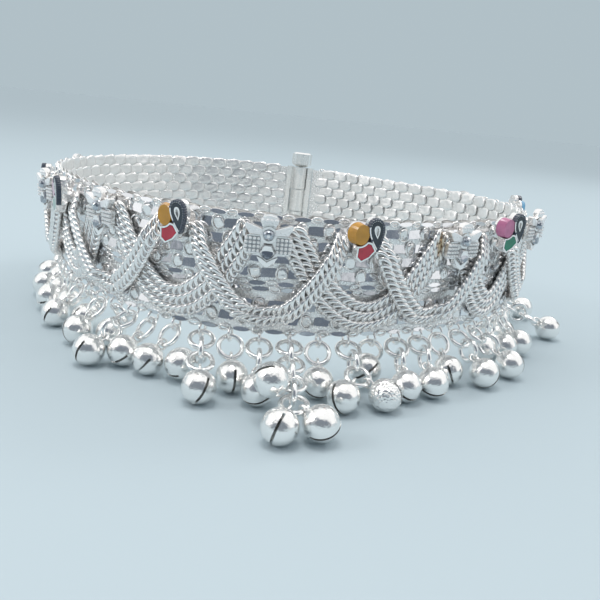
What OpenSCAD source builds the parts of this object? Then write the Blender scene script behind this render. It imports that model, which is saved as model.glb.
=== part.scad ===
/* [Loop] */
// Mean radius of the closed loop, seen from above
loop_r = 41.5; // [40:0.1:43]
// How far the loop is drawn out front to side
loop_oval = 0.5; // [0:0.1:1]
// How far the drawn-out loop leans to the left
loop_skew = 3; // [0:0.1:3]
// Three-sided roundness of the loop
loop_three = 1.7; // [0:0.1:1.8]
// Four-sided roundness of the loop
loop_four = 1; // [0:0.1:1]

/* [Woven band] */
// Height of the band, along its wall
band_h = 16.6; // [15:0.1:18]
// Thickness of the band
band_t = 1.2; // [1:0.1:1.4]
// Lean of the band's wall outwards, in degrees
band_lean = 2.8; // [0:0.1:4]
// Height of the band's lower edge above the table
hem_z = 7.7; // [7.4:0.1:7.8]

/* [Festoons] */
// Usual distance along the band from one motif to the next
motif_pitch = 13.2; // [13:0.1:13.6]
// Thickness of one curb chain of a festoon
chain_t = 1.1; // [0.9:0.1:1.2]
// Width of one curb chain in the festoons hung from the silver motifs
wide_chain_w = 1.5; // [1.2:0.1:1.5]
// Width of one curb chain in the festoons hung from the enamel motifs
slim_chain_w = 1.3; // [1:0.1:1.3]

/* [Bells] */
// Outer radius of a bell
bell_r = 2.3; // [2.2:0.05:2.3]
// Thickness of a bell's shell
bell_wall = 0.35; // [0.3:0.05:0.4]
// Width of the slot in a bell
bell_slot = 0.35; // [0.3:0.05:0.5]
// Radius of a jump ring, to the middle of its wire
ring_r = 1.65; // [1.6:0.05:1.65]
// Distance along the band from one drop to the next
drop_pitch = 4.2; // [4.2:0.05:4.3]

/* [Clasp] */
// Radius of the three knuckles
knuckle_r = 2; // [1.7:0.1:2]
// Radius of the screw pin's shaft
pin_r = 0.6; // [0.5:0.05:0.7]
// Radius of the screw pin's ribbed head
head_r = 2.5; // [2:0.1:2.6]
// Height of the screw pin's head
head_h = 3.5; // [3:0.1:4]

/* [Hidden] */

$fn = 48;
silver = [0.9, 0.9, 0.89];
loop_centre = [-5.3, 6.7];      // of the loop in plan, so that the origin is under the middle
front_angle = -88.3;            // the loop's polar angle at its front motif
clasp_s = 126.9;                // distance of the clasp from the front motif, round the right side
gap = 0.1;                      // between pieces that are not soldered
mid_h = band_h / 2;
band_mid_z = hem_z + mid_h * cos(band_lean);

// The loop in plan: a circle with two-, three- and four-sided roundness, as a formula of the angle
function loop_radius(a) =
    loop_r + loop_oval * cos(2 * a) - loop_skew * sin(2 * a)
    + loop_three * cos(3 * a) + loop_four * cos(4 * a);
function loop_growth(a) =
    -2 * loop_oval * sin(2 * a) - 2 * loop_skew * cos(2 * a)
    - 3 * loop_three * sin(3 * a) - 4 * loop_four * sin(4 * a);
function loop_point(a) = loop_centre + loop_radius(a) * [cos(a), sin(a)];
function loop_heading(a) = atan2(
    loop_growth(a) * sin(a) + loop_radius(a) * cos(a),
    loop_growth(a) * cos(a) - loop_radius(a) * sin(a)
);

// Distance along the loop against polar angle, counted from the front motif
length_step = 2;
length_steps = 360 / length_step;
function step_angle(i) = front_angle + i * length_step;
lengths = [
    for (
        i = 0, s = 0;
        i <= length_steps;
        s = s + norm(loop_point(step_angle(i + 1)) - loop_point(step_angle(i))), i = i + 1
    ) [s, step_angle(i)]
];
loop_len = lengths[length_steps][0];
function angle_at(s) =
    s < 0 ? lookup(s + loop_len, lengths) - 360
    : s > loop_len ? lookup(s - loop_len, lengths) + 360
    : lookup(s, lengths);

// A point of the wall: s along the loop, out from the middle of its thickness, h above mid-height
function wall_point(s, out, h) =
    let (
        a = angle_at(s),
        heading = loop_heading(a),
        reach = out * cos(band_lean) + h * sin(band_lean),
        p = loop_point(a) + reach * [sin(heading), -cos(heading)]
    )
    [p.x, p.y, band_mid_z + h * cos(band_lean) - out * sin(band_lean)];

// Puts its children on the wall: +X along the band, -Y outwards, +Z up the wall
module on_wall(s, out = 0, h = 0) {
    translate(wall_point(s, out, h))
        rotate([0, 0, loop_heading(angle_at(s))])
            rotate([band_lean, 0, 0])
                children();
}

// Closed tube through rings of points that run counterclockwise, seen along the sweep
function tube_faces(rings, sides) = concat(
    [[for (j = [sides - 1:-1:0]) j]],
    [
        for (i = [0:rings - 2], j = [0:sides - 1])
            let (k = (j + 1) % sides)
            [i * sides + j, i * sides + k, (i + 1) * sides + k, (i + 1) * sides + j]
    ],
    [[for (j = [0:sides - 1]) (rings - 1) * sides + j]]
);

// Ring with a round wire, lying in the XY plane
module wire_ring(r, wire_r) {
    rotate_extrude() translate([r, 0]) circle(r = wire_r, $fn = 24);
}

// Woven band: two strips of flat links joined edge to edge, with soldered loops along the hem
clasp_gap = 3.55;               // from the pin's axis to the end of the band
band_rings = 128;
edge_cut = 0.25;
seam_h = -1.4;                  // where the upper strip meets the lower one
seam_cut = 0.3;
loop_wire_r = 0.2;
hem_loop_r = 1.05;
hem_loop_h = -0.75;             // centre of a hem loop, from the band's lower edge

function band_section() =
    let (t = band_t / 2, c = edge_cut)
    [
        [c - t, -mid_h], [t - c, -mid_h], [t, c - mid_h],
        [t, seam_h - seam_cut], [t - seam_cut, seam_h], [t, seam_h + seam_cut],
        [t, mid_h - c], [t - c, mid_h], [c - t, mid_h], [-t, mid_h - c],
        [-t, seam_h + seam_cut], [seam_cut - t, seam_h], [-t, seam_h - seam_cut],
        [-t, c - mid_h]
    ];

module woven_band() {
    section = band_section();
    start = clasp_s + clasp_gap - loop_len;
    step = (loop_len - 2 * clasp_gap) / (band_rings - 1);
    polyhedron(
        [
            for (i = [0:band_rings - 1], q = section)
                wall_point(start + i * step, q[0], q[1])
        ],
        tube_faces(band_rings, len(section))
    );
}

module band() {
    color(silver) {
        woven_band();
        for (i = [first_drop:last_drop])
            at_drop(i) translate([0, 0, hem_loop_h]) rotate([0, 90, 0])
                wire_ring(hem_loop_r, loop_wire_r);
    }
}

// Motifs: silver at even places and enamelled at odd ones, counted from the front
// Places that are off the usual spacing, as [place, distance to the right]
motif_shifts = [
    [-6, 2.5], [-5, 3.5], [-4, 6], [-3, 2], [-2, 1.1], [-1, 1.4],
    [0, 0.2], [1, -1], [2, 2.2], [3, -2], [4, -3.4], [5, 3], [6, 4.3]
];
function motif_s(k) = k * motif_pitch + lookup(k, motif_shifts);

// Motifs that stand turned about the vertical, as [place, angle], or off the usual height
motif_turns = [[-5, 0], [-4, 11], [-3, -6], [-2, 0], [2, 0], [3, -15], [4, -10], [5, 0]];
motif_lifts = [[-6, 0], [-5, -1.5], [-4, 0], [-3, -0.6], [-2, 0], [2, 0], [3, 0.9], [4, 1.4], [5, 0.7], [6, 0]];

// Festoons: bundles of curb chains that hang in parabolas from motif to motif
festoon_end = 0.79;             // where a bundle ends, in motif pitches from its lowest point
festoon_rise = 18;              // rise of the parabola over one motif pitch
festoon_narrow = 0.35;          // share of its width that a bundle loses at its ends
wide_low_h = -5.15;             // lowest point of a wide bundle's middle line
slim_low_h = -5.6;
over_from = [0.14, 0.24];       // where a slim bundle rises to pass over a wide one
over_to = [0.71, 0.79];         // and where it comes down again
chain_gap = 0.15;

function clamp01(x) = max(0, min(1, x));
function festoon_h(u, low) = low + festoon_rise * u * u;
function festoon_lift(u) = (chain_t + chain_gap) * min(
    clamp01((abs(u) - over_from[0]) / (over_from[1] - over_from[0])),
    clamp01((over_to[1] - abs(u)) / (over_to[1] - over_to[0]))
);

// Outline of parallel chains side by side, as [out, across]
function chains_section(count, w) =
    let (
        outer = [-50, 0, 50],
        inner = [130, 180, 230],
        middle = function (k) (k - (count - 1) / 2) * w
    )
    concat(
        [[0, middle(0) - w / 2]],
        [for (k = [0:count - 1], a = outer) [chain_t / 2 * cos(a), middle(k) + w / 2 * sin(a)]],
        [[0, middle(count - 1) + w / 2]],
        [for (k = [count - 1:-1:0], a = inner) [chain_t / 2 * cos(a), middle(k) + w / 2 * sin(a)]]
    );

// A festoon hangs from motif k - 1 to motif k + 1
module festoon(k, count, w, low, lifted, rings) {
    section = chains_section(count, w);
    rest_out = band_t / 2 + gap + chain_t / 2;
    centre_s = (motif_s(k - 1) + motif_s(k + 1)) / 2;
    pitch = (motif_s(k + 1) - motif_s(k - 1)) / 2;
    points = [
        for (i = [0:rings - 1])
            let (
                u = festoon_end * (2 * i / (rings - 1) - 1),
                slope = atan2(2 * festoon_rise * u, pitch),
                out = rest_out + (lifted ? festoon_lift(u) : 0),
                share = 1 - festoon_narrow * pow(abs(u) / festoon_end, 2)
            )
            for (q = section)
                wall_point(
                    centre_s + u * pitch - share * q[1] * sin(slope),
                    out + q[0],
                    festoon_h(u, low) + share * q[1] * cos(slope)
                )
    ];
    polyhedron(points, tube_faces(rings, len(section)));
}

module wide_festoons() {
    color(silver)
        for (k = [-5:2:5])
            festoon(k, 3, wide_chain_w, wide_low_h, false, 16);
}

module slim_festoons() {
    color(silver)
        for (k = [-4:2:4])
            festoon(k, 2, slim_chain_w, slim_low_h, true, 26);
}

// Outlines in the plane of the wall, as [along, up]
function oval_outline(w, h, n) = [for (i = [0:n - 1]) [w / 2 * cos(360 * i / n), h / 2 * sin(360 * i / n)]];
function drop_outline(w, h, n) = [
    for (i = [0:n - 1])
        let (a = 360 * i / n)
        [0.65 * w * sin(a) * pow(abs(sin(a / 2)), 1.2), -h / 2 * cos(a)]
];

// Stands a flat outline on the wall: its face looks outwards and its back is on the XZ plane
module standing(thick) {
    rotate([90, 0, 0]) linear_extrude(thick) children();
}

// Cast silver motif: a bead over a faceted drop, between two leaves and two dotted panels
silver_h = mid_h - 2.2;         // height of the bead
plate_out = band_t / 2 + 2 * gap + chain_t;
turn_reach = 3.2;               // from the post to the edge that a turn brings nearer to the band
function motif_out(k) = plate_out + turn_reach * sin(abs(lookup(k, motif_turns)));
plate_t = 0.6;
post_r = 0.9;
bead_r = 0.75;
dot_r = 0.2;
dot_step = 0.54;
leaf = [[0.7, 0.7], [2.9, 1.5], [3.15, 1.3], [3.05, 0.85], [2.5, 0.05], [0.7, -0.05]];
panel = [[0.7, -0.1], [2.5, -0.1], [3.1, -0.35], [3.1, -2.3], [2.8, -2.6], [1, -2.6]];
fan = [[-0.7, 0.5], [-1.2, 2], [-0.85, 2.45], [0, 2.65], [0.85, 2.45], [1.2, 2], [0.7, 0.5]];
petal = [[-1.2, -0.8], [-1.35, -3.1], [-0.7, -3.9], [0, -4.35], [0.7, -3.9], [1.35, -3.1], [1.2, -0.8]];
collar = [
    [-1.35, -2.9], [-0.7, -3.2], [0, -3.65], [0.7, -3.2],
    [1.35, -2.9], [1, -3.6], [0, -4.35], [-1, -3.6]
];
faceted = [[-0.6, 1.15], [0.6, 1.15], [1.2, -0.1], [0.7, -0.8], [0, -1.2], [-0.7, -0.8], [-1.2, -0.1]];

module dot() {
    rotate([90, 0, 0]) cylinder(r = dot_r, h = plate_t + 0.2, $fn = 8);
}

// A motif's own place: its post stands off the band between the festoons, and its plate may be turned
module at_motif(k, h) {
    on_wall(motif_s(k), motif_out(k), h + lookup(k, motif_lifts))
        rotate([0, 0, lookup(k, motif_turns)])
            children();
}

module post(k, h) {
    stand = motif_out(k) - band_t / 2 - gap;
    on_wall(motif_s(k), motif_out(k), h + lookup(k, motif_lifts))
        translate([0, stand, 0]) rotate([90, 0, 0]) cylinder(r = post_r, h = stand + gap);
}

module silver_motif(k) {
    color(silver) {
        post(k, silver_h);
        at_motif(k, silver_h) {
            standing(plate_t) {
                polygon(panel);
                mirror([1, 0]) polygon(panel);
                polygon(fan);
                polygon(petal);
                circle(r = 1.2);
            }
            standing(plate_t + 0.25) {
                polygon(leaf);
                mirror([1, 0]) polygon(leaf);
                polygon(collar);
                difference() {
                    circle(r = 1.1);
                    circle(r = 0.6);
                }
                difference() {
                    polygon(fan);
                    circle(r = 1.4);
                }
            }
            translate([0, -plate_t - 0.3, 0]) sphere(r = bead_r);
            translate([0, -plate_t + 0.1, -2.25]) rotate([90, 0, 0])
                linear_extrude(0.7, scale = 0.75, slices = 1) polygon(faceted);
            for (side = [-1, 1], column = [0:3], row = [0:3])
                translate([side * (1.25 + column * dot_step), 0, -0.55 - row * dot_step]) dot();
            for (column = [-1.5:1.5])
                translate([column * dot_step, -0.2, 1.95]) dot();
        }
    }
}

// Enamelled motif: an oval stone with a sloping side, and two cells filled level with their walls
enamel_h = mid_h - 2.35;
base_t = 0.4;
setting_t = 1.6;
stone_t = 1.5;
stone_taper = [0.71, 0.92];
stone_lean = 1.15;              // the taper's fixed line, so that the left side slopes most
cell_wall = 0.2;
fill_gap = 0.05;
fill_t = setting_t - base_t - fill_gap;
oval_at = [-1.2, 1.15];
shield_at = [-0.2, -1.12];
shield = [[-1, 0.9], [0.3, 1.15], [0.75, 1.05], [1.3, 0.2], [0.6, -0.65], [-0.4, -1.2], [-1, -0.7]];
drop_at = [1.2, 1.15];
island_at = [1.15, 1.6];

// Cells, each grown or shrunk by a distance; the oval gives way to the drop, the shield to the oval
module cell_drop(grow)
    translate(drop_at) rotate(10) polygon(drop_outline(1.85 + 2 * grow, 3.9 + 3 * grow, 24));
module whole_oval(grow)
    translate(oval_at) polygon(oval_outline(2.8 + 2 * grow, 3 + 2 * grow, 24));
module cell_oval(grow) {
    difference() {
        whole_oval(grow);
        cell_drop(cell_wall);
    }
}
module cell_shield(grow) {
    difference() {
        translate(shield_at) scale(1 + grow) polygon(shield);
        if (grow <= 0) cell_oval(cell_wall + fill_gap - grow);
    }
}
module island(grow)
    translate(island_at) rotate(10) polygon(drop_outline(0.9 + 2 * grow, 1.8 + 3 * grow, 16));

module enamel_setting(k) {
    color(silver) {
        post(k, enamel_h);
        at_motif(k, enamel_h) {
            difference() {
                union() {
                    standing(base_t) cell_oval(0);
                    standing(base_t) circle(r = 1.2);
                    standing(setting_t) cell_drop(cell_wall);
                    standing(setting_t) cell_shield(cell_wall);
                }
                translate([0, -base_t, 0]) standing(setting_t) {
                    cell_drop(0);
                    cell_shield(0);
                    cell_oval(fill_gap);
                }
            }
            difference() {
                standing(setting_t) island(0);
                translate([0, 0.25 - setting_t, 0]) standing(setting_t) island(-0.2);
            }
        }
    }
}

module in_cell(k) {
    at_motif(k, enamel_h)
        translate([0, -base_t - fill_gap, 0])
            children();
}

module oval_stone() {
    fixed = oval_at + [stone_lean, 0];
    difference() {
        translate([fixed.x, 0, fixed.y]) rotate([90, 0, 0])
            linear_extrude(stone_t - base_t - fill_gap, scale = stone_taper, slices = 1)
                translate(-fixed) whole_oval(0);
        translate([0, 1, 0]) standing(setting_t + 2) cell_drop(cell_wall + fill_gap);
    }
}

module oval_fills(k) {
    in_cell(-k) oval_stone();
    in_cell(k) oval_stone();
}

module shield_fills(k) {
    in_cell(-k) standing(fill_t) cell_shield(-fill_gap);
    in_cell(k) standing(fill_t) cell_shield(-fill_gap);
}

module enamel_yellow() { color([0.86, 0.58, 0.14]) oval_fills(1); }
module enamel_pink() { color([0.85, 0.45, 0.62]) oval_fills(3); }
module enamel_sky() { color([0.35, 0.7, 0.9]) oval_fills(5); }
module enamel_red() { color([0.8, 0.15, 0.22]) shield_fills(1); }
module enamel_green() { color([0.1, 0.5, 0.36]) shield_fills(3); }
module enamel_blue() { color([0.12, 0.22, 0.55]) shield_fills(5); }
module enamel_black() {
    color([0.15, 0.18, 0.21])
        for (k = [-5:2:5])
            in_cell(k)
                standing(fill_t)
                    difference() {
                        cell_drop(-fill_gap);
                        island(fill_gap);
                    }
}

// Clasp: end plates with three knuckles in line, held by a screw pin
knuckle_gap = 0.15;
plate_in = 2.15;                // from the pin's axis to an end plate
end_plate_w = 1.2;
end_plate_t = 1.7;
pin_clearance = 0.05;
knuckle_h = band_h / 3;
rib_r = 0.25;

module knuckle(index, side) {
    low = -mid_h + index * knuckle_h + knuckle_gap / 2;
    tall = knuckle_h - knuckle_gap;
    translate([0, 0, low]) cylinder(r = knuckle_r, h = tall);
    web = plate_in + end_plate_w / 2;
    translate([side > 0 ? 0 : -web, -band_t / 2, low]) cube([web, band_t, tall]);
}

module clasp_side(side, knuckles) {
    color(silver)
        on_wall(clasp_s)
            difference() {
                union() {
                    translate([side > 0 ? plate_in : -plate_in - end_plate_w, -end_plate_t / 2, -mid_h])
                        cube([end_plate_w, end_plate_t, band_h]);
                    for (index = knuckles) knuckle(index, side);
                }
                translate([0, 0, -mid_h - 1]) cylinder(r = pin_r + pin_clearance, h = band_h + 2);
            }
}

module clasp_left() { clasp_side(1, [0, 2]); }
module clasp_right() { clasp_side(-1, [1]); }

module clasp_screw() {
    collar_h = 0.6;
    crown_h = 0.35;
    ribbed_h = head_h - collar_h - crown_h;
    core_r = head_r - 0.15;
    color(silver)
        on_wall(clasp_s) {
            translate([0, 0, -mid_h + 0.3]) cylinder(r = pin_r, h = band_h);
            translate([0, 0, mid_h + gap]) cylinder(r1 = 1.4, r2 = core_r, h = collar_h);
            translate([0, 0, mid_h + gap + collar_h]) {
                cylinder(r = core_r, h = ribbed_h);
                for (i = [0:13])
                    rotate([0, 0, 360 / 14 * i]) translate([head_r - rib_r, 0, 0])
                        cylinder(r = rib_r, h = ribbed_h);
            }
            translate([0, 0, mid_h + gap + collar_h + ribbed_h])
                cylinder(r1 = core_r, r2 = core_r - 0.5, h = crown_h);
        }
}

// Drops: jump rings hung from the hem loops, with round bells that lie on the table
first_drop = -31;
last_drop = 29;
ring_wire_r = 0.35;
ring_gap = 0.1;                 // between two interlocked rings
ear_r = 0.75;
ear_wire_r = 0.2;
bell_reach = bell_r + 0.55;     // from a bell's centre to the ring wire in its ear
hook_z = hem_z + hem_loop_h - hem_loop_r + loop_wire_r + ring_wire_r + ring_gap;
next_ring = 2 * ring_r - 2 * ring_wire_r - ring_gap;
far_out = 3.3;                  // how far out every second bell lies, and the others
near_out = 0.9;
first_slot = -23;               // turn of the middle drop's slot
next_slot = 153.3;              // from one drop's slot to the next
pair_slot = 60;                 // from a drop's slot turn to those of its two bells

// Drops that do not follow the rule: [drop, rings, swing to the right in degrees,
// bell's distance out from the hem or 0 where the drop is stretched, bell's height]
odd_drops = [
    [-9, 1, 4, 0, bell_r],
    [-7, 1, 7, 0, bell_r],
    [-5, 2, -3, 0, bell_r],
    [-4, 1, -24, 0, bell_r],
    [-3, 1, -22, 0, bell_r],
    [-2, 3, 23, 9.6, bell_r],
    [-1, 1, 21, 0, bell_r],
    [0, 2, 5, 0, bell_r],
    [1, 7, -2, 17.6, bell_r],
    [2, 1, -10, 0, bell_r],
    [3, 3, -3, 0, bell_r],
    [4, 1, -39, 2.1, 3],
    [5, 2, -19.5, 0, bell_r],
    [6, 2, -18, 0, bell_r],
    [7, 1, -14, 0, bell_r],
    [8, 2, -7, 0, bell_r],
    [9, 2, 12, 0, bell_r],
    [10, 1, 0, 0.9, bell_r],
    [11, 1, -2, 3, bell_r],
    [12, 1, -3, 0, bell_r],
    [14, 3, 16, 0, bell_r],
    [17, 3, -6, 0, bell_r],
    [18, 3, -1, 0, bell_r]
];
// Drops whose last ring holds two bells: [drop, half the angle between them, turn to the right]
paired_bells = [[1, 34, 10], [3, 42, 0]];
// Bells that hang beside an upright ring of a drop: [drop, ring, side, at its top or bottom, angle up]
side_bells = [[-2, 1, -1, -1, -23], [1, 5, -1, 1, 8]];

function rows_of(table, i) = [for (row = table) if (row[0] == i) row];
function is_odd(i) = len(rows_of(odd_drops, i)) > 0;
function is_paired(i) = len(rows_of(paired_bells, i)) > 0;
function drop_rings(i) = is_odd(i) ? rows_of(odd_drops, i)[0][1] : 1;
function drop_swing(i) = is_odd(i) ? rows_of(odd_drops, i)[0][2] : 1.5 * sin(77 * i);
function drop_z(i) = is_odd(i) ? rows_of(odd_drops, i)[0][4] : bell_r;
function pair_angle(i) = is_paired(i) ? rows_of(paired_bells, i)[0][1] : 0;
function pair_turn(i) = is_paired(i) ? rows_of(paired_bells, i)[0][2] : 0;
function end_reach(i) = (ring_r + bell_reach) * cos(pair_turn(i) - pair_angle(i));
function stretched_out(i) = sqrt(
    pow(ring_r + (drop_rings(i) - 1) * next_ring + end_reach(i) - 0.02, 2)
    - pow(hook_z - drop_z(i), 2)
);
function is_far(i) = (i > -6 ? i : i + 1) % 2 == 0;
function drop_out(i) =
    !is_odd(i) ? (is_far(i) ? far_out : near_out)
    : rows_of(odd_drops, i)[0][3] > 0 ? rows_of(odd_drops, i)[0][3]
    : stretched_out(i);

// Puts its children on the hem at a drop: +X along the band, -Y outwards, z = 0 at the lower edge
module at_drop(i) {
    p = wall_point(i * drop_pitch, 0, -mid_h);
    translate([p.x, p.y, hem_z]) rotate([0, 0, loop_heading(angle_at(i * drop_pitch))]) children();
}

// Bell that hangs from the origin by its ear, the ear in the YZ plane and the slot below
module bell(slot_turn) {
    translate([0, 0, -bell_reach]) {
        difference() {
            sphere(r = bell_r);
            sphere(r = bell_r - bell_wall);
            rotate([0, 0, slot_turn])
                translate([-bell_slot / 2, -bell_r - 1, -bell_r - 1])
                    cube([bell_slot, 2 * bell_r + 2, bell_r + 0.8]);
        }
        translate([0, 0, bell_r + ear_r - 0.25]) rotate([0, 90, 0]) wire_ring(ear_r, ear_wire_r);
    }
}

// One drop, as its rings or as its bells
module drop(i, rings) {
    out = drop_out(i);
    fall = hook_z - drop_z(i);
    count = drop_rings(i);
    span = norm([out, fall]);
    straight = atan2(fall, out);
    bend = acos((span * span + 4 * ring_r * ring_r - bell_reach * bell_reach) / (4 * span * ring_r));
    dip = count > 1 ? straight : straight + bend;
    spacing = count > 1 ? (span - ring_r - end_reach(i)) / (count - 1) : 0;
    knee = 2 * ring_r * [cos(dip), -sin(dip)];
    turn = first_slot + next_slot * i;
    at_drop(i) translate([0, 0, hook_z - hem_z]) rotate([0, 0, drop_swing(i)])
        if (rings) {
            for (j = [0:count - 1])
                rotate([dip, 0, 0]) translate([0, -ring_r - j * spacing, 0])
                    rotate([0, j % 2 == 0 ? 0 : 90, 0]) wire_ring(ring_r, ring_wire_r);
        } else {
            if (is_paired(i))
                rotate([dip, 0, 0]) translate([0, -ring_r - (count - 1) * spacing, 0])
                    for (side = [-1, 1])
                        rotate([0, 0, pair_turn(i) + side * pair_angle(i)])
                            translate([0, -ring_r, 0]) rotate([-90, 0, 0]) bell(turn - side * pair_slot);
            else if (count > 1)
                rotate([dip, 0, 0]) translate([0, -2 * ring_r - (count - 1) * spacing, 0])
                    rotate([-90, 0, 0]) rotate([0, 0, count % 2 == 0 ? 90 : 0]) bell(turn);
            else
                translate([0, -knee[0], knee[1]])
                    rotate([atan2(knee[0] - out, knee[1] + fall), 0, 0]) bell(turn);
            for (row = rows_of(side_bells, i))
                rotate([dip, 0, 0]) translate([0, -ring_r - row[1] * spacing, 0])
                    translate([0, 0, row[3] * ring_r])
                        rotate([0, -row[2] * (90 + row[4]), 0]) rotate([0, 0, 90]) bell(turn + 60);
        }
}

module jump_rings() {
    color(silver)
        for (i = [first_drop:last_drop]) drop(i, true);
}

module front_bells() {
    color(silver)
        for (i = [-16:16]) drop(i, false);
}

module back_bells() {
    color(silver) {
        for (i = [first_drop:-17]) drop(i, false);
        for (i = [17:last_drop]) drop(i, false);
    }
}

band();
wide_festoons();
slim_festoons();
silver_motif(0);  // silver_motif_front
silver_motif(-2);  // silver_motif_left_1
silver_motif(-4);  // silver_motif_left_2
silver_motif(-6);  // silver_motif_left_3
silver_motif(2);  // silver_motif_right_1
silver_motif(4);  // silver_motif_right_2
silver_motif(6);  // silver_motif_right_3
enamel_setting(-1);  // enamel_setting_left_1
enamel_setting(-3);  // enamel_setting_left_2
enamel_setting(-5);  // enamel_setting_left_3
enamel_setting(1);  // enamel_setting_right_1
enamel_setting(3);  // enamel_setting_right_2
enamel_setting(5);  // enamel_setting_right_3
enamel_yellow();
enamel_red();
enamel_pink();
enamel_green();
enamel_sky();
enamel_blue();
enamel_black();
clasp_left();
clasp_right();
clasp_screw();
jump_rings();
front_bells();
back_bells();
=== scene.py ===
import math

import bpy
import numpy as np
from mathutils import Matrix, Vector


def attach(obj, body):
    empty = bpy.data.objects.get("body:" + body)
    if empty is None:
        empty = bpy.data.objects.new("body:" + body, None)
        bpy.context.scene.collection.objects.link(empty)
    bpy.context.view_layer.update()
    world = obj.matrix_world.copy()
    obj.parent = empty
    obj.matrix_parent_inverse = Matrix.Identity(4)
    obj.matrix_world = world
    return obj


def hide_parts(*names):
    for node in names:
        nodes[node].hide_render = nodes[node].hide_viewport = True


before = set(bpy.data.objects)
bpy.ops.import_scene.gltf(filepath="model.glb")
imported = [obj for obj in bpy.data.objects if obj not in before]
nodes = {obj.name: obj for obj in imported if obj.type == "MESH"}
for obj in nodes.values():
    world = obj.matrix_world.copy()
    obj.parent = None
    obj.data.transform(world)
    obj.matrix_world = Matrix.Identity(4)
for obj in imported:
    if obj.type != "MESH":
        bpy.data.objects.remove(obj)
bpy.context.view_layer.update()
MM = 0.001


# Woven band: two strips of silver links, woven flat and joined edge to edge.
# The outer links are cut with small flat mirrors that lean up a little; the inner side is left rounded.
# The links are laid in rows round a thin core, and the band closes at the clasp's end plates.
LOOP_CENTRE = (-5.3, 6.7)
LOOP_R, LOOP_OVAL, LOOP_SKEW, LOOP_THREE, LOOP_FOUR = 41.5, 0.5, 3.0, 1.7, 1.0
FRONT_ANGLE = -88.3
BAND_H, BAND_T, BAND_LEAN, HEM_Z = 16.6, 1.2, math.radians(2.8), 7.7
MID_H = BAND_H / 2
CLASP_S, CLASP_GAP = 126.9, 3.55
LINK_PITCH = 3.66
# Rows of links, each as its height up the wall, its pitch, and the distance of one link from the front motif
BRICK_ROWS = ((6.6, 3.66, -0.89), (4.5, 3.66, 0.63), (2.5, 3.66, -1.2), (0.45, 3.66, 0.61),
              (-4.1, 4.4, 1.9), (-6.2, 4.4, -0.33))
OVAL_ROWS = ((8.0, 3.7, 0.9), (-1.1, 3.9, -0.85), (-1.9, 3.9, -0.35), (-8.05, 4.6, 1.95))
INNER_ROWS = tuple((7.3 - 2.08 * n, 3.5, 1.75 * (n % 2)) for n in range(8))


def loop_radius(a):
    return (LOOP_R + LOOP_OVAL * np.cos(2 * a) - LOOP_SKEW * np.sin(2 * a)
            + LOOP_THREE * np.cos(3 * a) + LOOP_FOUR * np.cos(4 * a))


def loop_point(a):
    return np.stack([LOOP_CENTRE[0] + loop_radius(a) * np.cos(a),
                     LOOP_CENTRE[1] + loop_radius(a) * np.sin(a)], -1)


loop_angles = np.radians(FRONT_ANGLE + 2.0 * np.arange(181))
loop_steps = np.linalg.norm(np.diff(loop_point(loop_angles), axis=0), axis=1)
loop_lengths = np.concatenate([[0], np.cumsum(loop_steps)])
LOOP_LEN = loop_lengths[-1]
BAND_START, BAND_END = CLASP_S + CLASP_GAP - LOOP_LEN, CLASP_S - CLASP_GAP


def angle_at(s):
    s = np.asarray(s, float)
    turns = np.floor(s / LOOP_LEN)
    return np.interp(s - turns * LOOP_LEN, loop_lengths, loop_angles) + turns * 2 * math.pi


def heading_at(s):
    a = angle_at(s)
    growth = (-2 * LOOP_OVAL * np.sin(2 * a) - 2 * LOOP_SKEW * np.cos(2 * a)
              - 3 * LOOP_THREE * np.sin(3 * a) - 4 * LOOP_FOUR * np.sin(4 * a))
    r = loop_radius(a)
    return np.arctan2(growth * np.sin(a) + r * np.cos(a), growth * np.cos(a) - r * np.sin(a))


def wall_out(s):
    h = heading_at(s)
    return np.stack([np.sin(h) * math.cos(BAND_LEAN), -np.cos(h) * math.cos(BAND_LEAN),
                     np.full_like(h, -math.sin(BAND_LEAN))], -1)


def wall_point(s, out, up):
    """A point of the wall: s along the loop, out from the middle of its thickness, up from mid-height."""
    s, out, up = np.broadcast_arrays(*(np.asarray(v, float) for v in (s, out, up)))
    p = loop_point(angle_at(s))
    h = heading_at(s)
    reach = out * math.cos(BAND_LEAN) + up * math.sin(BAND_LEAN)
    z = HEM_Z + (MID_H + up) * math.cos(BAND_LEAN) - out * math.sin(BAND_LEAN)
    return np.stack([p[..., 0] + reach * np.sin(h), p[..., 1] - reach * np.cos(h), z], -1) * MM


def mesh_object(name, verts, faces, edges=()):
    mesh = bpy.data.meshes.new(name)
    mesh.from_pydata([tuple(v) for v in verts], list(edges), [tuple(f) for f in faces])
    mesh.update()
    piece = bpy.data.objects.new(name, mesh)
    bpy.context.scene.collection.objects.link(piece)
    return piece


def smooth(piece):
    piece.data.polygons.foreach_set("use_smooth", [True] * len(piece.data.polygons))
    piece.data.update()


def paths_object(name, paths):
    """Open paths as edges; each point carries the direction that faces outwards and its row's stretch."""
    verts, outs, stretches, edges = [], [], [], []
    for points, out, stretch in paths:
        first = len(verts)
        verts.extend(points)
        outs.extend(out)
        stretches.extend([stretch] * len(points))
        edges.extend((first + i, first + i + 1) for i in range(len(points) - 1))
    piece = mesh_object(name, verts, [], edges)
    attribute = piece.data.attributes.new("out", "FLOAT_VECTOR", "POINT")
    attribute.data.foreach_set("vector", np.array(outs, np.float32).ravel())
    attribute = piece.data.attributes.new("stretch", "FLOAT", "POINT")
    attribute.data.foreach_set("value", np.array(stretches, np.float32))
    return piece


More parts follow.
